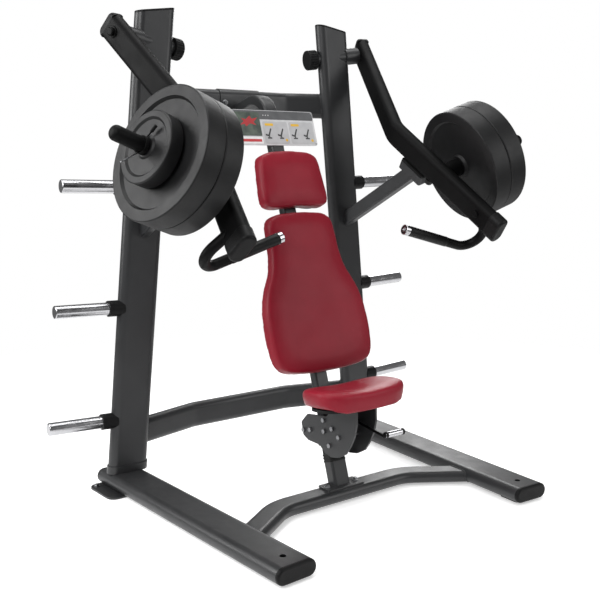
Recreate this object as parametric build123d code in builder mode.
"""Plate-loaded incline chest press machine.

Millimetres, +Z up, +X to the machine's right, +Y to the rear (the user faces -Y).
The origin is on the floor, in the middle of the machine's overall length and width.
Pieces of the right half are drawn once and mirrored about the YZ plane for the left half.
"""
import os
from math import cos, radians, sin, tan

from build123d import *

os.makedirs("parts", exist_ok=True)

# ---------------------------------------------------------------- driving dimensions
FRONT = -582.64           # y of the front ends of the base rails
FIT = 0.05                # radial running clearance

# base rails and columns: flat oval tube
TUBE_W, TUBE_D, TUBE_WALL = 156.0, 58.0, 3.0
RAIL_FOOT = 8.0                              # height of the feet under the rails
RAIL_TOP = RAIL_FOOT + TUBE_D
RAIL_X = 549.0                               # rail centre at its front end
RAIL_SPLAY = 3.1                             # each rail opens outwards to the rear, degrees
RAIL_LEN = 1135.0
ANCHOR_FROM_END = 60.0
ANCHOR_HOLE_R, ANCHOR_ACCESS_R = 6.5, 11.0

COLUMN_Y = FRONT + 1062.0
COLUMN_LEAN = 5.55                           # inward lean, degrees
COLUMN_TOP_X, COLUMN_TOP_Z = 423.5, 1840.0   # middle of the slanted top
COLUMN_TURN = 2.5                            # columns stand square to the pegs, degrees
TOP_SLOPE = 8.1                              # fall of the column top towards outside, degrees

# beams between the columns and between the rails: smaller flat oval tube
BEAM_H, BEAM_T, BEAM_WALL = 106.0, 50.0, 2.5
UPPER_BEAM_Z = 1512.0
LOWER_BEAM_Z = 209.0
BEAM_BOW = 92.0                              # how far the middle stands behind the columns
BEAM_BEND_X = 240.0
CROSS_TUBE_W, CROSS_TUBE_H, CROSS_TUBE_Z = 100.0, 46.0, 31.0

# spine that carries the pads and the seat carriage
SPINE_TILT = 18.0
SPINE_W, SPINE_D, SPINE_WALL = 60.0, 40.0, 3.0
SPINE_FOOT = (FRONT + 464.0, CROSS_TUBE_Z + CROSS_TUBE_H / 2 + 6.0)   # y, z of its lower end
SPINE_BEND = 1390.0                          # straight length up to the swan-neck bend

# press arms: flat oval tube bent once, the easy way
ARM_T, ARM_D = 52.0, 104.0
ARM_CORNER = 23.0                            # rounding of the section's edges
ARM_PIVOT = Vector(590, FRONT + 1038, 1738)
ARM_BEND = Vector(470, FRONT + 693, 1391)
ARM_END = Vector(583, FRONT + 226.4, 1014.6)
ARM_BEND_R = 110.0
ARM_WALL = 4.0
PIVOT_INNER = Vector(338, FRONT + 1081, 1704)  # a point of the pivot axis, inboard of the column
SHAFT_R = 15.0
HOUSING_R, HOUSING_INNER_R = 35.0, 28.0      # outboard of the column, and inside it
BEARING_R, BEARING_W = 24.0, 16.0
HOUSING_IN, HOUSING_OUT = -86.0, 122.0       # ends of the housing, from the column's middle
HOUSING_SHOULDER = 58.0                      # where the housing gets wider

# weight plates and the horn that holds them, measured from the arm's centre plane
HORN_R = 24.8
HORN_AT = 279.0                              # from the arm's bend, along its lower half
HORN_END = 426.0
HORN_FREE_FROM = 329.0                       # start of the free end, marked by a shallow groove
HORN_GROOVE_W, HORN_GROOVE_DEPTH = 2.0, 0.5
BIG_PLATE_R, BIG_PLATE_T = 226.0, 76.0
BIG_PLATE_FROM = 94.0
SMALL_PLATE_R, SMALL_PLATE_T = 120.0, 51.0
PLATE_BORE_R = 25.1

# handles
GRIP_TUBE_R, GRIP_R = 18.5, 20.0
HANDLE_TIP = Vector(292.4, FRONT + 432.8, 1015.0)
HANDLE_CORNER = Vector(723.6, FRONT + 406.7, 899.0)
HANDLE_ROOT_AT = 518.0                       # from the arm's bend, along its lower half
HANDLE_BEND_R = 66.0

# storage pegs on the columns
PEG_R, PEG_LEN, PEG_RISE = 24.8, 208.0, 1.5
SPIGOT_R = 21.0                              # the peg's foot, inside its collar
PEG_HEIGHTS = (274.0, 714.0, 1176.0)
COLLAR_R, COLLAR_LEN = 31.0, 42.0

# pads
PAD_T, BOARD_T = 55.0, 10.0
SEAT_W, SEAT_D, SEAT_T = 396.0, 246.0, 60.0
SEAT_MIDDLE = (FRONT + 375.0, 425.0)         # y and z of the middle of the pad
SEAT_TILT = 6.0                              # front edge up, degrees

# seat carriage
SIDE_PLATE_X, SIDE_PLATE_T = 42.0, 8.0
LEVER_X = 30.0


# ---------------------------------------------------------------- helpers
def save(part, label):
    """Label a finished piece and write its STEP file."""
    part.label = label
    export_step(part, f"parts/{label}.step")


def save_pair(part, label):
    """Write a piece of the right half and its mirror image."""
    save(mirror(part, about=Plane.YZ), f"{label}_left")
    save(part, f"{label}_right")


def save_both(part, label):
    """Write a piece of the right half and its mirror image as one node."""
    with BuildPart() as both:
        add(part)
        mirror(about=Plane.YZ)
    save(both.part, label)


def along(start, direction, distance):
    """The point that lies a distance from start along a direction."""
    return start + direction.normalized() * distance


def plane_at(point, z_dir, x_dir=None):
    """A plane through a point, facing along z_dir."""
    if x_dir is None:
        return Plane(origin=tuple(point), z_dir=tuple(z_dir))
    return Plane(origin=tuple(point), x_dir=tuple(x_dir), z_dir=tuple(z_dir))


# ---------------------------------------------------------------- derived directions
UP = Vector(0, 0, 1)
RAIL_DIR = Vector(sin(radians(RAIL_SPLAY)), cos(radians(RAIL_SPLAY)), 0)
RAIL_SIDE = Vector(cos(radians(RAIL_SPLAY)), -sin(radians(RAIL_SPLAY)), 0)
COLUMN_DIR = Vector(-sin(radians(COLUMN_LEAN)), 0, cos(radians(COLUMN_LEAN)))
COLUMN_SIDE = Vector(cos(radians(COLUMN_TURN)), sin(radians(COLUMN_TURN)), 0)


def rail_point(distance):
    """A point on the right rail's centre line, from its front end."""
    return along(Vector(RAIL_X, FRONT, RAIL_FOOT + TUBE_D / 2), RAIL_DIR, distance)


def column_point(height):
    """The right column's centre at a height above the floor."""
    shift = (COLUMN_TOP_Z - height) * tan(radians(COLUMN_LEAN))
    return Vector(COLUMN_TOP_X + shift, COLUMN_Y, height)


SPINE_DIR = Vector(0, sin(radians(SPINE_TILT)), cos(radians(SPINE_TILT)))
SPINE_FRONT = Vector(0, -cos(radians(SPINE_TILT)), sin(radians(SPINE_TILT)))


def spine_point(distance, forward=0.0, x=0.0):
    """A point beside the spine: distance from its foot, and how far in front of its centre."""
    foot = Vector(x, SPINE_FOOT[0], SPINE_FOOT[1])
    return foot + SPINE_DIR * distance + SPINE_FRONT * forward


def spine_plane(forward, distance=0.0):
    """A plane parallel to the pads: local x is the machine's X, local y runs up the spine."""
    return plane_at(spine_point(distance, forward), SPINE_FRONT, Vector(1, 0, 0))


UPPER_DIR = (ARM_BEND - ARM_PIVOT).normalized()
LOWER_DIR = (ARM_END - ARM_BEND).normalized()
ARM_NORMAL = UPPER_DIR.cross(LOWER_DIR).normalized()
ARM_OUT = ARM_NORMAL.cross(LOWER_DIR).normalized()
if ARM_OUT.X < 0:
    ARM_OUT = ARM_OUT * -1
PIVOT_AXIS = (ARM_PIVOT - PIVOT_INNER).normalized()
HORN_DIR = Vector(0.928, -0.153, 0.341).normalized()    # the horn leans forwards and up


def horn_point(out=0.0):
    """A point of the horn's axis, measured outboard from the middle of the arm."""
    return along(arm_point(HORN_AT), HORN_DIR, out)


def arm_point(distance, out=0.0, face=0.0):
    """A point of the arm's lower half: from the bend, outboard, and along the wide side."""
    return ARM_BEND + LOWER_DIR * distance + ARM_OUT * out + ARM_NORMAL * face


def pivot_point(distance):
    """A point of the pivot axis, measured outboard from the middle of the column."""
    reach = (column_point(1717).X - ARM_PIVOT.X) / PIVOT_AXIS.X
    return ARM_PIVOT + PIVOT_AXIS * (reach + distance)


PIVOT_REACH = (ARM_PIVOT.X - column_point(1717).X) / PIVOT_AXIS.X

# ---------------------------------------------------------------- base rails
rail_plane = plane_at(rail_point(0), RAIL_DIR, RAIL_SIDE)
with BuildPart() as base_rail:
    with BuildSketch(rail_plane):
        SlotOverall(TUBE_W, TUBE_D)
        SlotOverall(TUBE_W - 2 * TUBE_WALL, TUBE_D - 2 * TUBE_WALL, mode=Mode.SUBTRACT)
    extrude(amount=RAIL_LEN)
    anchor = rail_point(ANCHOR_FROM_END)
    with BuildSketch(plane_at(Vector(anchor.X, anchor.Y, anchor.Z), UP)):
        Circle(ANCHOR_ACCESS_R)
    extrude(amount=TUBE_D, mode=Mode.SUBTRACT)
    with BuildSketch(plane_at(Vector(anchor.X, anchor.Y, anchor.Z), UP)):
        Circle(ANCHOR_HOLE_R)
    extrude(amount=-TUBE_D, mode=Mode.SUBTRACT)
save_pair(base_rail.part, "base_rail")


def rail_cap(at, facing):
    """A moulded cap that plugs a rail's open end."""
    with BuildPart() as cap:
        with BuildSketch(plane_at(at, facing, RAIL_SIDE)):
            SlotOverall(TUBE_W, TUBE_D)
        extrude(amount=14)
        fillet(cap.faces().sort_by(Axis(tuple(at), tuple(facing)))[-1].edges(), radius=9)
        with BuildSketch(plane_at(at, facing * -1, RAIL_SIDE)):
            SlotOverall(TUBE_W - 2 * TUBE_WALL - 0.4, TUBE_D - 2 * TUBE_WALL - 0.4)
        extrude(amount=18)
    return cap.part


with BuildPart() as rail_caps:
    add(rail_cap(rail_point(0), RAIL_DIR * -1))
    add(rail_cap(rail_point(RAIL_LEN), RAIL_DIR))
save_both(rail_caps.part, "rail_caps")

# rubber foot under the front of each rail
FOOT_LEN, FOOT_W = 90.0, 132.0
foot_middle = rail_point(ANCHOR_FROM_END)
foot_plane = plane_at(Vector(foot_middle.X, foot_middle.Y, 0), UP, RAIL_SIDE)
with BuildPart() as front_foot:
    with BuildSketch(foot_plane):
        RectangleRounded(FOOT_W * 0.72, FOOT_LEN, 12)
        Circle(ANCHOR_HOLE_R + 5, mode=Mode.SUBTRACT)
    extrude(amount=RAIL_FOOT)
save_both(front_foot.part, "front_feet")

# steel foot plate under each column
PLATE_BOLT_SPREAD = 96.0
heel = rail_point(COLUMN_Y - FRONT)
heel_plane = plane_at(Vector(heel.X, heel.Y - 12, 0), UP, RAIL_SIDE)
with BuildPart() as foot_plate:
    with BuildSketch(heel_plane):
        RectangleRounded(236, 190, 34)
        with Locations((-PLATE_BOLT_SPREAD, 62), (PLATE_BOLT_SPREAD, 62)):
            Circle(ANCHOR_HOLE_R, mode=Mode.SUBTRACT)
    extrude(amount=RAIL_FOOT)
    fillet(foot_plate.faces().sort_by(Axis.Z)[-1].outer_wire().edges(), radius=2)
save_both(foot_plate.part, "rear_foot_plates")

# ---------------------------------------------------------------- columns
column_plane = plane_at(column_point(0), COLUMN_DIR, COLUMN_SIDE)
top_normal = Vector(sin(radians(TOP_SLOPE)), 0, cos(radians(TOP_SLOPE)))
top_plane = plane_at(Vector(COLUMN_TOP_X, COLUMN_Y, COLUMN_TOP_Z - 8), top_normal)
floor_plane = Plane.XY.offset(RAIL_TOP)
housing_plane = plane_at(pivot_point(0), PIVOT_AXIS)
with BuildPart() as column:
    with BuildSketch(column_plane):
        SlotOverall(TUBE_W, TUBE_D)
        SlotOverall(TUBE_W - 2 * TUBE_WALL, TUBE_D - 2 * TUBE_WALL, mode=Mode.SUBTRACT)
    extrude(amount=1900)
    split(bisect_by=floor_plane, keep=Keep.TOP)
    split(bisect_by=top_plane, keep=Keep.BOTTOM)
    with BuildSketch(housing_plane.offset(HOUSING_IN)):
        Circle(HOUSING_INNER_R)
    extrude(amount=HOUSING_OUT - HOUSING_IN)
    with BuildSketch(housing_plane.offset(HOUSING_SHOULDER)):
        Circle(HOUSING_R)
    extrude(amount=HOUSING_OUT - HOUSING_SHOULDER)
    with BuildSketch(housing_plane.offset(HOUSING_IN)):
        Circle(BEARING_R)
    extrude(amount=HOUSING_OUT - HOUSING_IN, mode=Mode.SUBTRACT)
save_pair(column.part, "column")

with BuildPart() as column_cap:
    with BuildSketch(column_plane):
        SlotOverall(TUBE_W, TUBE_D)
    extrude(amount=1900)
    split(bisect_by=top_plane, keep=Keep.TOP)
    split(bisect_by=top_plane.offset(8), keep=Keep.BOTTOM)
    fillet(column_cap.faces().sort_by(Axis((0, 0, 0), tuple(top_normal)))[-1].edges(), radius=3)
save_both(column_cap.part, "column_caps")

SOCKET_H = 30.0
with BuildPart() as column_socket:
    with BuildSketch(column_plane):
        SlotOverall(TUBE_W + 8, TUBE_D + 8)
        SlotOverall(TUBE_W, TUBE_D, mode=Mode.SUBTRACT)
    extrude(amount=150)
    split(bisect_by=floor_plane, keep=Keep.TOP)
    split(bisect_by=floor_plane.offset(SOCKET_H), keep=Keep.BOTTOM)
save_both(column_socket.part, "column_sockets")

# ---------------------------------------------------------------- beams between the columns
BEAM_BACK = COLUMN_Y + BEAM_BOW


def bowed_beam(height, section_w, section_t):
    """A flat tube bowed to the rear, from column to column."""
    reach = column_point(height).X
    with BuildPart() as beam:
        with BuildLine(Plane.XY.offset(height)) as path:
            FilletPolyline(
                (-reach, COLUMN_Y), (-BEAM_BEND_X, BEAM_BACK), (BEAM_BEND_X, BEAM_BACK), (reach, COLUMN_Y),
                radius=110,
            )
        with BuildSketch(Plane(path.line @ 0, x_dir=(0, 0, 1), z_dir=path.line % 0)):
            SlotOverall(section_w, section_t)
            SlotOverall(section_w - 2 * BEAM_WALL, section_t - 2 * BEAM_WALL, mode=Mode.SUBTRACT)
        sweep(path=path.line)
    return beam.part


with BuildPart() as column_bodies:
    with BuildSketch(column_plane):
        SlotOverall(TUBE_W, TUBE_D)
    extrude(amount=1820)
    mirror(about=Plane.YZ)


def between_columns(height):
    """A bowed beam cut to meet both columns face to face."""
    with BuildPart() as beam:
        add(bowed_beam(height, BEAM_H, BEAM_T))
        add(column_bodies.part, mode=Mode.SUBTRACT)
        with Locations((0, COLUMN_Y + 100, height)):
            Box(2 * (column_point(height).X - TUBE_W / 2 + TUBE_D / 2), 600, 300, mode=Mode.INTERSECT)
    return beam.part


upper_beam = between_columns(UPPER_BEAM_Z)
lower_beam = between_columns(LOWER_BEAM_Z)
save(upper_beam, "upper_crossbeam")
save(lower_beam, "lower_crossbeam")

SLEEVE_LEN = 196.0
sleeve_plane = Plane(origin=(-SLEEVE_LEN / 2, BEAM_BACK, UPPER_BEAM_Z), x_dir=(0, 0, 1), z_dir=(1, 0, 0))
with BuildPart() as beam_sleeve:
    with BuildSketch(sleeve_plane):
        SlotOverall(BEAM_H + 8, BEAM_T + 8)
        SlotOverall(BEAM_H, BEAM_T, mode=Mode.SUBTRACT)
    extrude(amount=SLEEVE_LEN)
save(beam_sleeve.part, "beam_sleeve")

# ---------------------------------------------------------------- front cross tube
CROSS_MIDDLE_Y = FRONT + 441.0
CROSS_END_Y = FRONT + 312.0
CROSS_BEND_X = 300.0
with BuildPart() as rail_bodies:
    with BuildSketch(rail_plane):
        SlotOverall(TUBE_W, TUBE_D)
    extrude(amount=RAIL_LEN)
    mirror(about=Plane.YZ)

with BuildPart() as front_cross_tube:
    with BuildLine(Plane.XY.offset(CROSS_TUBE_Z)) as cross_path:
        FilletPolyline(
            (-560, CROSS_END_Y - 40), (-CROSS_BEND_X, CROSS_MIDDLE_Y), (CROSS_BEND_X, CROSS_MIDDLE_Y),
            (560, CROSS_END_Y - 40),
            radius=190,
        )
    cross_start = cross_path.line % 0
    with BuildSketch(Plane(cross_path.line @ 0, x_dir=cross_start.cross(UP), z_dir=cross_start)):
        SlotOverall(CROSS_TUBE_W, CROSS_TUBE_H)
    sweep(path=cross_path.line)
    add(rail_bodies.part, mode=Mode.SUBTRACT)
    with Locations((0, CROSS_MIDDLE_Y, CROSS_TUBE_Z)):
        Box(1080, 900, 100, mode=Mode.INTERSECT)
cross_solid = front_cross_tube.part.solids().sort_by(SortBy.VOLUME)[-1]
save(Part(cross_solid.wrapped), "front_cross_tube")

# ---------------------------------------------------------------- spine
# one bent tube with a bolted foot plate, a swan neck and a lug for the gas spring
FOOT_PLATE_W, FOOT_PLATE_D, FOOT_PLATE_T = 172.0, 72.0, 6.0
foot_plate_z = CROSS_TUBE_Z + CROSS_TUBE_H / 2
NECK_DROP = 38.0                             # the neck meets the sleeve this far below the beam's middle
NECK_BEND_R = 92.0
SOCKET_W, SOCKET_D, SOCKET_TOP = 72.0, 52.0, 84.0   # outer tube around the spine's foot
LUG_FROM, LUG_TO, LUG_R, SPRING_BACK = 28.0, 55.0, 12.0, 50.0
neck_corner = spine_point(SPINE_BEND + 165)
neck_end = (BEAM_BACK + 11, UPPER_BEAM_Z - NECK_DROP)
spine_start = spine_point(-30)
with BuildPart() as spine:
    with BuildLine(Plane.YZ) as spine_path:
        FilletPolyline(
            (spine_start.Y, spine_start.Z), (neck_corner.Y, neck_corner.Z), neck_end,
            radius=NECK_BEND_R,
        )
    with BuildSketch(plane_at(spine_start, SPINE_DIR, Vector(1, 0, 0))):
        RectangleRounded(SPINE_W, SPINE_D, 8)
        RectangleRounded(SPINE_W - 2 * SPINE_WALL, SPINE_D - 2 * SPINE_WALL, 5, mode=Mode.SUBTRACT)
    sweep(path=spine_path.line)
    with BuildSketch(plane_at(spine_start, SPINE_DIR, Vector(1, 0, 0))):
        RectangleRounded(SOCKET_W, SOCKET_D, 10)
        RectangleRounded(SPINE_W, SPINE_D, 8, mode=Mode.SUBTRACT)
    extrude(amount=SOCKET_TOP + 30)
    with BuildSketch(sleeve_plane.offset(-SLEEVE_LEN)):
        SlotOverall(BEAM_H + 8, BEAM_T + 8)
    extrude(amount=3 * SLEEVE_LEN, mode=Mode.SUBTRACT)
    split(bisect_by=Plane.XY.offset(foot_plate_z), keep=Keep.TOP)
    with BuildSketch(Plane.XY.offset(foot_plate_z)):
        with Locations((0, CROSS_MIDDLE_Y + 8)):
            RectangleRounded(FOOT_PLATE_W, FOOT_PLATE_D, 8)
    extrude(amount=FOOT_PLATE_T)
    with BuildSketch(plane_at(spine_point(LUG_FROM, -SPRING_BACK), SPINE_DIR, Vector(1, 0, 0))):
        Circle(LUG_R)
        with Locations((0, SPRING_BACK - SPINE_D / 2 - 4), (0, SPRING_BACK / 2 - 4)):
            Rectangle(1.4 * LUG_R, SPRING_BACK / 2)
    extrude(amount=LUG_TO - LUG_FROM)
spine_solid = spine.part.solids().sort_by(SortBy.VOLUME)[-1]
save(Part(spine_solid.wrapped), "spine")

# rubber buffer on top of the socket, where the seat carriage comes to rest
BUFFER_H, BUFFER_RIB = 30.0, 6.0
with BuildPart() as slide_buffer:
    for step in range(int(BUFFER_H / BUFFER_RIB)):
        inset = 3.0 * (step % 2)
        with BuildSketch(plane_at(spine_point(SOCKET_TOP + step * BUFFER_RIB), SPINE_DIR, Vector(1, 0, 0))):
            RectangleRounded(SOCKET_W + 2 - inset, SOCKET_D + 2 - inset, 9)
            RectangleRounded(SPINE_W, SPINE_D, 8, mode=Mode.SUBTRACT)
        extrude(amount=BUFFER_RIB)
save(slide_buffer.part, "slide_buffer")

# ---------------------------------------------------------------- storage pegs
PEG_DIR = (COLUMN_SIDE * cos(radians(PEG_RISE)) + UP * sin(radians(PEG_RISE))).normalized()
with BuildPart() as right_column_body:
    with BuildSketch(column_plane):
        SlotOverall(TUBE_W, TUBE_D)
    extrude(amount=1820)


def round_bar(start, direction, radius, length, edge=0.0):
    """A round bar, with its far edge rounded if an edge radius is given."""
    with BuildPart() as bar:
        with BuildSketch(plane_at(start, direction)):
            Circle(radius)
        extrude(amount=length)
        if edge:
            fillet(bar.faces().sort_by(Axis(tuple(start), tuple(direction)))[-1].edges(), radius=edge)
    return bar.part


with BuildPart() as collars:
    for height in PEG_HEIGHTS:
        root = along(column_point(height), PEG_DIR, TUBE_W / 2 - 20)
        add(round_bar(root, PEG_DIR, COLLAR_R, 20 + COLLAR_LEN, 2))
    add(right_column_body.part, mode=Mode.SUBTRACT)
    for height in PEG_HEIGHTS:
        root = along(column_point(height), PEG_DIR, TUBE_W / 2 + 8)
        add(round_bar(root, PEG_DIR, SPIGOT_R, COLLAR_LEN), mode=Mode.SUBTRACT)
save_both(collars.part, "peg_collars")

with BuildPart() as pegs:
    for height in PEG_HEIGHTS:
        root = along(column_point(height), PEG_DIR, TUBE_W / 2 + 8)
        add(round_bar(root, PEG_DIR, SPIGOT_R, COLLAR_LEN))
        add(round_bar(along(root, PEG_DIR, COLLAR_LEN - 8), PEG_DIR, PEG_R, PEG_LEN, 4))
save_both(pegs.part, "storage_pegs")

# ---------------------------------------------------------------- arm pivots
COVER_T = 40.0
SHAFT_IN = HOUSING_IN + 2


with BuildPart() as bearings:
    for start in (HOUSING_IN + 6, HOUSING_OUT - 4 - BEARING_W):
        with BuildSketch(plane_at(pivot_point(start), PIVOT_AXIS)):
            Circle(BEARING_R)
            Circle(SHAFT_R + FIT, mode=Mode.SUBTRACT)
        extrude(amount=BEARING_W)
save_both(bearings.part, "pivot_bearings")

# ribbed cover on the inboard end of the housing
COVER_R, RIB_COUNT = 41.5, 24
with BuildPart() as cover:
    with BuildSketch(plane_at(pivot_point(HOUSING_IN), PIVOT_AXIS * -1)):
        Circle(COVER_R)
    extrude(amount=COVER_T)
    fillet(cover.faces().sort_by(Axis(tuple(pivot_point(0)), tuple(PIVOT_AXIS * -1)))[-1].edges(), radius=3)
    with BuildSketch(plane_at(pivot_point(HOUSING_IN), PIVOT_AXIS * -1)):
        with PolarLocations(COVER_R, RIB_COUNT):
            Circle(1.8)
    extrude(amount=COVER_T + 2, mode=Mode.SUBTRACT)
save_both(cover.part, "bearing_covers")

# ---------------------------------------------------------------- press arms
ARM_TOP = along(ARM_PIVOT, UPPER_DIR, -36)
arm_plane = plane_at(ARM_BEND, ARM_NORMAL, LOWER_DIR)
top_local = arm_plane.to_local_coords(ARM_TOP)
end_local = arm_plane.to_local_coords(ARM_END)
with BuildPart() as arm:
    with BuildLine(arm_plane) as arm_line:
        FilletPolyline((top_local.X, top_local.Y), (0, 0), (end_local.X, end_local.Y), radius=ARM_BEND_R)
    with BuildSketch(plane_at(ARM_TOP, UPPER_DIR, ARM_NORMAL)):
        RectangleRounded(ARM_D, ARM_T, ARM_CORNER)
    sweep(path=arm_line.line)
arm_solid = arm.part
with BuildPart() as arm_hollow:
    with BuildSketch(plane_at(ARM_TOP, UPPER_DIR, ARM_NORMAL)):
        RectangleRounded(ARM_D - 2 * ARM_WALL, ARM_T - 2 * ARM_WALL, ARM_CORNER - ARM_WALL)
    sweep(path=arm_line.line)

TOP_CAP_LEN, TOP_CAP_CORNER = 26.0, 25.0
END_CAP_LEN, END_CAP_OVERLAP, END_CAP_WALL = 14.0, 42.0, 3.5
upper_side = ARM_NORMAL.cross(UPPER_DIR).normalized()
if upper_side.X < 0:
    upper_side = upper_side * -1
with BuildPart() as arm_top_cap:
    with BuildSketch(plane_at(along(ARM_TOP, upper_side, -ARM_T / 2), upper_side, ARM_NORMAL)):
        RectangleRounded(ARM_D, 2 * TOP_CAP_LEN, TOP_CAP_CORNER)
    extrude(amount=ARM_T)
    split(bisect_by=plane_at(ARM_TOP, UPPER_DIR * -1), keep=Keep.TOP)
    far_edges = arm_top_cap.edges().filter_by(lambda e: (e.center() - ARM_TOP).dot(UPPER_DIR * -1) > 1)
    fillet(far_edges, radius=12)
with BuildPart() as arm_end_cap:
    with BuildSketch(plane_at(along(ARM_END, LOWER_DIR, -END_CAP_OVERLAP), LOWER_DIR, ARM_NORMAL)):
        RectangleRounded(ARM_D + 2 * END_CAP_WALL, ARM_T + 2 * END_CAP_WALL, ARM_CORNER + END_CAP_WALL)
    extrude(amount=END_CAP_OVERLAP + END_CAP_LEN)
    fillet(arm_end_cap.faces().sort_by(Axis(tuple(ARM_END), tuple(LOWER_DIR)))[-1].edges(), radius=10)
    fillet(arm_end_cap.faces().sort_by(Axis(tuple(ARM_END), tuple(LOWER_DIR)))[0].edges(), radius=2)
    add(arm_solid, mode=Mode.SUBTRACT)
with BuildPart() as arm_caps:
    add(arm_top_cap.part)
    add(arm_end_cap.part)
save_pair(arm_caps.part, "arm_caps")

shaft_end = PIVOT_REACH + ARM_T / 2 + 4
with BuildPart() as shaft:
    add(round_bar(pivot_point(SHAFT_IN), PIVOT_AXIS, SHAFT_R, shaft_end - SHAFT_IN))
with BuildPart() as arm_tube:
    add(arm_solid)
    add(arm_hollow.part, mode=Mode.SUBTRACT)
    add(shaft.part, mode=Mode.SUBTRACT)
save_pair(arm_tube.part, "press_arm")
save_pair(shaft.part, "pivot_shaft")

# bolt head and washer on the outer face of the arm
with BuildPart() as pivot_bolt:
    add(round_bar(along(ARM_PIVOT, upper_side, 10), upper_side, 22, ARM_T / 2 - 10 + 4, 1.5))
    add(round_bar(along(ARM_PIVOT, upper_side, ARM_T / 2), upper_side, 15, 16, 5))
    add(arm_solid, mode=Mode.SUBTRACT)
    add(shaft.part, mode=Mode.SUBTRACT)

# horn, with a shoulder on the arm and a domed end
with BuildPart() as horn:
    add(round_bar(horn_point(), HORN_DIR, HORN_R, HORN_END, 18))
    add(round_bar(horn_point(), HORN_DIR, 36, BIG_PLATE_FROM - 0.5, 3))
    add(arm_solid, mode=Mode.SUBTRACT)
    with BuildSketch(plane_at(horn_point(HORN_FREE_FROM - HORN_GROOVE_W), HORN_DIR)):
        Circle(HORN_R + 2)
        Circle(HORN_R - HORN_GROOVE_DEPTH, mode=Mode.SUBTRACT)
    extrude(amount=HORN_GROOVE_W, mode=Mode.SUBTRACT)
horn_solid = horn.part.solids().sort_by(SortBy.VOLUME)[-1]
save_pair(Part(horn_solid.wrapped), "plate_horn")


def weight_plate(start, radius, thickness, rim, dish, hub_r):
    """A round plate with a raised rim and hub on both faces, turned about the horn."""
    with BuildPart() as plate:
        with BuildSketch(Plane.XZ):
            with BuildLine():
                Polyline(
                    (PLATE_BORE_R, 0), (hub_r, 0), (hub_r + 6, dish), (radius - rim - 8, dish),
                    (radius - rim, 0), (radius, 0), (radius, thickness), (radius - rim, thickness),
                    (radius - rim - 8, thickness - dish), (hub_r + 6, thickness - dish),
                    (hub_r, thickness), (PLATE_BORE_R, thickness), close=True,
                )
            make_face()
        revolve(axis=Axis.Z)
        outer = plate.edges().filter_by(GeomType.CIRCLE).filter_by(lambda e: e.radius > radius - 1)
        fillet(outer, radius=5)
    return plane_at(horn_point(start), HORN_DIR) * plate.part


with BuildPart() as large_plates:
    for start in (BIG_PLATE_FROM, BIG_PLATE_FROM + BIG_PLATE_T):
        add(weight_plate(start, BIG_PLATE_R, BIG_PLATE_T - 0.5, 38, 10, 44))
save_pair(large_plates.part, "large_plates")
small_from = BIG_PLATE_FROM + 2 * BIG_PLATE_T
save_pair(weight_plate(small_from, SMALL_PLATE_R, SMALL_PLATE_T, 22, 6, 34), "small_plate")

# spring clip: a wire coil with two legs
CLIP_WIRE_R, CLIP_TURNS = 2.4, 4
clip_from = small_from + SMALL_PLATE_T + 0.5
clip_length = 2 * CLIP_WIRE_R * CLIP_TURNS
with BuildPart() as clip:
    with BuildSketch(plane_at(horn_point(clip_from), HORN_DIR)):
        Circle(HORN_R + 0.2 + 2 * CLIP_WIRE_R)
        Circle(HORN_R + 0.2, mode=Mode.SUBTRACT)
    extrude(amount=clip_length)
    for across, step in ((1, 0.5), (-1, CLIP_TURNS - 0.5)):
        leg_root = horn_point(clip_from + 2 * CLIP_WIRE_R * step)
        leg_root += ARM_NORMAL * (across * (HORN_R + 2))
        leg_dir = (ARM_NORMAL * across + LOWER_DIR * -0.35 + HORN_DIR * 0.45).normalized()
        with BuildSketch(plane_at(leg_root, leg_dir)):
            Circle(CLIP_WIRE_R)
        extrude(amount=52)
    add(round_bar(horn_point(200), HORN_DIR, HORN_R + 0.2, 200), mode=Mode.SUBTRACT)
save_pair(clip.part, "spring_clip")

# ---------------------------------------------------------------- handles
handle_root = arm_point(HANDLE_ROOT_AT, -10, 20)
with BuildPart() as handle:
    with BuildLine() as handle_path:
        FilletPolyline(tuple(handle_root), tuple(HANDLE_CORNER), tuple(HANDLE_TIP), radius=HANDLE_BEND_R)
    root_dir = handle_path.line % 0
    with BuildSketch(plane_at(handle_path.line @ 0, root_dir)):
        Circle(GRIP_TUBE_R)
    sweep(path=handle_path.line)
    add(arm_solid, mode=Mode.SUBTRACT)
handle_solid = handle.part.solids().sort_by(SortBy.VOLUME)[-1]
save_pair(Part(handle_solid.wrapped), "handle_bar")

grip_dir = (HANDLE_TIP - HANDLE_CORNER).normalized()
GRIP_LEN, GRIP_CAP_LEN = 215.0, 14.0
with BuildPart() as grip:
    add(round_bar(along(HANDLE_TIP, grip_dir, -GRIP_LEN), grip_dir, GRIP_R, GRIP_LEN - GRIP_CAP_LEN, 1))
    add(round_bar(along(HANDLE_TIP, grip_dir, -GRIP_LEN - 5), grip_dir, GRIP_TUBE_R, GRIP_LEN + 5),
        mode=Mode.SUBTRACT)
save_pair(grip.part, "handle_grip")
with BuildPart() as grip_cap:
    add(round_bar(along(HANDLE_TIP, grip_dir, -GRIP_CAP_LEN), grip_dir, GRIP_R + 0.5, GRIP_CAP_LEN + 5, 3))
    grip_root = along(HANDLE_TIP, grip_dir, -GRIP_LEN)
    add(round_bar(grip_root, grip_dir, GRIP_TUBE_R, GRIP_LEN), mode=Mode.SUBTRACT)
save_pair(grip_cap.part, "handle_end_cap")

# bolt that clamps the handle, on the inboard face of the arm
with BuildPart() as arm_bolts:
    add(pivot_bolt.part)
    add(round_bar(arm_point(HANDLE_ROOT_AT - 8, -ARM_T / 2, 6), ARM_OUT * -1, 13, 9, 3))
save_pair(arm_bolts.part, "arm_bolts")

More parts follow.
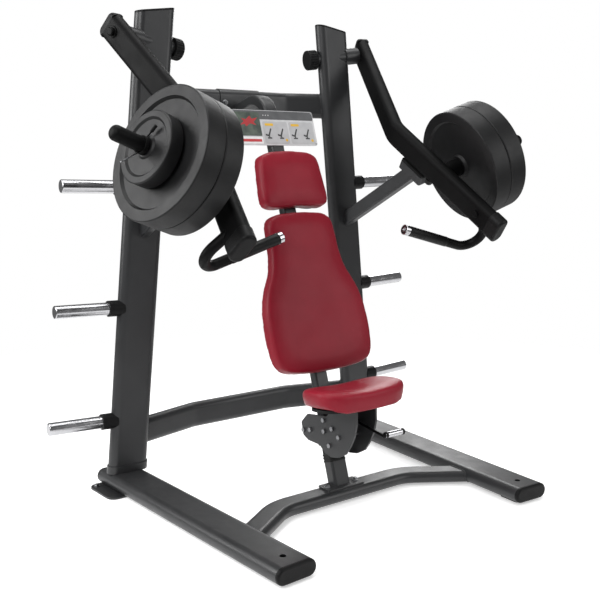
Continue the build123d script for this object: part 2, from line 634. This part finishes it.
# ---------------------------------------------------------------- arm stops
STOP_FROM, STOP_TO = 96.0, 222.0
STOP_PAD_T = 8.0
stop_plane = plane_at(arm_point((STOP_FROM + STOP_TO) / 2, -4, -ARM_D / 2 - 0.4), ARM_NORMAL * -1, LOWER_DIR)
with BuildPart() as stop_pad:
    with BuildSketch(stop_plane):
        RectangleRounded(STOP_TO - STOP_FROM, 44, 6)
    extrude(amount=STOP_PAD_T)
save_both(stop_pad.part, "stop_pads")
with BuildPart() as stop_block:
    with BuildSketch(stop_plane.offset(STOP_PAD_T)):
        RectangleRounded(STOP_TO - STOP_FROM, 50, 8)
    extrude(amount=38)

BRACE_W, BRACE_T, BRACE_WALL = 60.0, 40.0, 3.0
brace_top = arm_point((STOP_FROM + STOP_TO) / 2, -4, -ARM_D / 2 - 1 - STOP_PAD_T - 20)
brace_foot = column_point(1005)
brace_dir = (brace_top - brace_foot).normalized()
with BuildPart() as stop_brace:
    with BuildSketch(plane_at(brace_foot, brace_dir, brace_dir.cross(Vector(1, 0, 0)))):
        RectangleRounded(BRACE_W, BRACE_T, 8)
    extrude(amount=(brace_top - brace_foot).length)
    add(right_column_body.part, mode=Mode.SUBTRACT)
    add(stop_block.part)
save_both(stop_brace.part, "arm_stops")

with BuildPart() as arm_bumper:
    add(round_bar(arm_point(STOP_TO + 26, -10, -ARM_D / 2 + 6), ARM_NORMAL * -1, 15, 22, 6))
    add(arm_solid, mode=Mode.SUBTRACT)
save_pair(arm_bumper.part, "arm_bumper")

# ---------------------------------------------------------------- head pad, back pad and their boards
def rounded_plate(plane, outline, depth, edge_r):
    """A flat body with a smooth outline, its far edges rounded."""
    with BuildPart() as body:
        with BuildSketch(plane):
            with BuildLine():
                Spline(*outline, periodic=True)
            make_face()
        extrude(amount=depth)
        far_face = body.faces().sort_by(Axis(tuple(plane.origin), tuple(plane.z_dir)))[-1]
        if edge_r:
            fillet(far_face.edges(), radius=edge_r)
    return body.part


def mirrored(points):
    """Close a half outline, given from top to bottom on the right, into a full one."""
    return points + [(-x, y) for x, y in reversed(points) if x > 0]


HEAD_HALF = [
    (0, 1294), (90, 1291), (128, 1281), (146, 1250), (150, 1180),
    (158, 1105), (152, 1074), (120, 1060), (0, 1068),
]
BACK_HALF = [
    (0, 1048), (90, 1045), (136, 1034), (156, 1005), (160, 960),
    (162, 900), (176, 822), (214, 748), (237, 670), (241, 570),
    (236, 500), (221, 457), (180, 432), (100, 422), (0, 419),
]


def shrink(points, middle, scale):
    """Pull an outline in towards a middle point."""
    return [(x * scale, middle + (y - middle) * scale) for x, y in points]


BOARD_SHARE = 0.88                           # size of a board against its pad
board_forward = SPINE_D / 2
pad_forward = board_forward + BOARD_T
for name, half, middle in (("head", HEAD_HALF, 1178), ("back", BACK_HALF, 720)):
    board = rounded_plate(spine_plane(board_forward), shrink(mirrored(half), middle, BOARD_SHARE), BOARD_T, 0)
    save(board, f"{name}_board")
    save(rounded_plate(spine_plane(pad_forward), mirrored(half), PAD_T, 16), f"{name}_pad")

# ---------------------------------------------------------------- instruction placard, plain
PLACARD_W, PLACARD_H, PLACARD_T = 390.0, 143.0, 4.0
PLACARD_AT = 1405.5
with BuildPart() as placard:
    with BuildSketch(spine_plane(board_forward, PLACARD_AT)):
        RectangleRounded(PLACARD_W, PLACARD_H, 10)
    extrude(amount=PLACARD_T)
save(placard.part, "placard")

# ---------------------------------------------------------------- seat carriage
SLEEVE_FROM, SLEEVE_TO = 150.0, 250.0
SLIDE_GAP = 0.4
with BuildPart() as guide_sleeve:
    with BuildSketch(plane_at(spine_point(SLEEVE_FROM), SPINE_DIR, Vector(1, 0, 0))):
        Rectangle(2 * SIDE_PLATE_X, 56)
        RectangleRounded(SPINE_W + 2 * SLIDE_GAP, SPINE_D + 2 * SLIDE_GAP, 8.4, mode=Mode.SUBTRACT)
    extrude(amount=SLEEVE_TO - SLEEVE_FROM)
save(guide_sleeve.part, "carriage_sleeve")

seat_normal = Vector(0, sin(radians(SEAT_TILT)), cos(radians(SEAT_TILT)))
SEAT_BOARD_Z = SEAT_MIDDLE[1] - SEAT_T / 2 - BOARD_T
seat_plane = plane_at(Vector(0, SEAT_MIDDLE[0], SEAT_BOARD_Z), seat_normal, Vector(1, 0, 0))
MOUNT_T, MOUNT_W, MOUNT_D = 6.0, 150.0, 140.0
BRACKET_OUTLINE = [
    (599, 308), (637, 268), (624, 219), (592, 205), (522, 204), (492, 184), (452, 173), (408, 182),
    (366, 206), (338, 244), (316, 288), (306, 335), (308, 389), (442, 375), (462, 345), (480, 324),
]
CROSS_BOLTS = [(496, 307), (492, 265), (444, 286), (404, 262), (459, 217), (578, 250), (620, 240)]
LEVER_PIVOT = (400.0, 312.0)
CROSS_BOLT_R = 5.0


def side_plane(x):
    """A plane facing +X at a given x: local x is the machine's Y, from the rail fronts."""
    return Plane(origin=(x, FRONT, 0), x_dir=(0, 1, 0), z_dir=(1, 0, 0))


with BuildPart() as seat_bracket:
    for x in (SIDE_PLATE_X, -SIDE_PLATE_X - SIDE_PLATE_T):
        with BuildSketch(side_plane(x)):
            with BuildLine():
                FilletPolyline(*BRACKET_OUTLINE, radius=9, close=True)
            make_face()
            with Locations(*CROSS_BOLTS):
                Circle(CROSS_BOLT_R + FIT, mode=Mode.SUBTRACT)
        extrude(amount=SIDE_PLATE_T)
    with BuildSketch(seat_plane.offset(-MOUNT_T)):
        RectangleRounded(MOUNT_W, MOUNT_D, 10)
    extrude(amount=MOUNT_T)
save(seat_bracket.part, "seat_bracket")

with BuildPart() as cross_bolts:
    for y, z in CROSS_BOLTS:
        with BuildSketch(side_plane(-SIDE_PLATE_X - SIDE_PLATE_T)):
            with Locations((y, z)):
                Circle(CROSS_BOLT_R)
        extrude(amount=2 * (SIDE_PLATE_X + SIDE_PLATE_T))
        with BuildSketch(side_plane(SIDE_PLATE_X + SIDE_PLATE_T)):
            with Locations((y, z)):
                RegularPolygon(9.5, 6)
        extrude(amount=7)
        with BuildSketch(side_plane(-SIDE_PLATE_X - SIDE_PLATE_T)):
            with Locations((y, z)):
                RegularPolygon(9.5, 6)
        extrude(amount=-7)
    with BuildSketch(side_plane(-SIDE_PLATE_X)):
        with Locations(LEVER_PIVOT):
            Circle(CROSS_BOLT_R)
    extrude(amount=2 * SIDE_PLATE_X)
save(cross_bolts.part, "carriage_bolts")


def seat_outline(width, depth):
    """A squarish oval, traced point by point."""
    points = []
    for step in range(24):
        turn = radians(step * 15)
        x = abs(cos(turn)) ** 0.62 * (1 if cos(turn) >= 0 else -1)
        y = abs(sin(turn)) ** 0.62 * (1 if sin(turn) >= 0 else -1)
        points.append((x * width / 2, y * depth / 2))
    return points


back_pad_face = plane_at(spine_point(0, pad_forward + PAD_T + 2), SPINE_FRONT, Vector(1, 0, 0))
NOSE_DROP, NOSE_LEN, BOARD_GAP = 16.0, 34.0, 0.5
with BuildPart() as seat_board:
    add(rounded_plate(seat_plane, seat_outline(SEAT_W - 56, SEAT_D - 2 * (NOSE_LEN + BOARD_GAP)), BOARD_T, 0))
save(seat_board.part, "seat_board")
with BuildPart() as seat_pad:
    nose_plane = seat_plane.offset(-NOSE_DROP)
    add(rounded_plate(nose_plane, seat_outline(SEAT_W, SEAT_D), NOSE_DROP + BOARD_T + SEAT_T, 20))
    split(bisect_by=back_pad_face, keep=Keep.TOP)
    with BuildSketch(seat_plane.offset(-NOSE_DROP)):
        with Locations((0, NOSE_LEN)):
            Rectangle(SEAT_W + 20, SEAT_D)
    extrude(amount=NOSE_DROP + BOARD_T, mode=Mode.SUBTRACT)
    fillet(seat_pad.faces().sort_by(Axis(tuple(seat_plane.origin), tuple(seat_normal)))[0].edges(), radius=6)
save(seat_pad.part, "seat_pad")

# ---------------------------------------------------------------- gas spring behind the spine
SPRING_TUBE_R, SPRING_ROD_R = 10.0, 5.0
EYE_AT, EYE_R = 216.2, 10.0
with BuildPart() as spring_tube:
    with BuildSketch(plane_at(spine_point(LUG_TO, -SPRING_BACK), SPINE_DIR)):
        Circle(SPRING_TUBE_R)
        Circle(SPRING_ROD_R + FIT, mode=Mode.SUBTRACT)
    extrude(amount=145)
save(spring_tube.part, "gas_spring_tube")

with BuildPart() as spring_rod:
    add(round_bar(spine_point(LUG_TO + 5, -SPRING_BACK), SPINE_DIR, SPRING_ROD_R, EYE_AT - LUG_TO - 5))
    with BuildSketch(side_plane(-7)):
        with Locations((578, 250)):
            Circle(EYE_R)
    extrude(amount=14)
    with BuildSketch(side_plane(-7)):
        with Locations((578, 250)):
            Circle(CROSS_BOLT_R + FIT)
    extrude(amount=14, mode=Mode.SUBTRACT)
save(spring_rod.part, "gas_spring_rod")

# ---------------------------------------------------------------- seat lever
LEVER_TIP = Vector(LEVER_X, FRONT + 245, 292)
LEVER_ROD_R, LEVER_GRIP_R = 5.0, 11.0
lever_root = Vector(LEVER_X, FRONT + LEVER_PIVOT[0], LEVER_PIVOT[1])
lever_dir = (LEVER_TIP - lever_root).normalized()
with BuildPart() as lever:
    with BuildSketch(side_plane(LEVER_X - 8)):
        with Locations(LEVER_PIVOT):
            Circle(10)
    extrude(amount=16)
    add(round_bar(lever_root, lever_dir, LEVER_ROD_R, (LEVER_TIP - lever_root).length))
    add(round_bar(along(LEVER_TIP, lever_dir, -LEVER_ROD_R), Vector(1, 0, 0), LEVER_ROD_R, 96, 1))
    with BuildSketch(side_plane(LEVER_X - 8)):
        with Locations(LEVER_PIVOT):
            Circle(CROSS_BOLT_R + FIT)
    extrude(amount=16, mode=Mode.SUBTRACT)
save(lever.part, "seat_lever")
with BuildPart() as lever_grip:
    lever_grip_root = along(LEVER_TIP, lever_dir, -LEVER_ROD_R) + Vector(8, 0, 0)
    add(round_bar(lever_grip_root, Vector(1, 0, 0), LEVER_GRIP_R, 92, 5))
    add(lever.part, mode=Mode.SUBTRACT)
save(lever_grip.part, "lever_grip")

# ---------------------------------------------------------------- bolts of the frame
def hex_bolt(point, direction, across=19.0, head=8.0):
    """A hex head on a washer, sitting on a face."""
    with BuildPart() as bolt:
        add(round_bar(point, direction, across * 0.62, 2))
        with BuildSketch(plane_at(along(point, direction, 2), direction)):
            RegularPolygon(across / 2, 6)
        extrude(amount=head)
    return bolt.part


bolt_spots = [
    (Vector(68, CROSS_MIDDLE_Y + 8, foot_plate_z + FOOT_PLATE_T), UP),
    (Vector(78, BEAM_BACK - BEAM_T / 2 - 4, UPPER_BEAM_Z), Vector(0, -1, 0)),
]
for across in (-PLATE_BOLT_SPREAD, PLATE_BOLT_SPREAD):
    bolt_spots.append((heel_plane.from_local_coords((across, 62, RAIL_FOOT)), UP))
with BuildPart() as frame_bolts:
    for spot, facing in bolt_spots:
        add(hex_bolt(spot, facing))
save_both(frame_bolts.part, "frame_bolts")
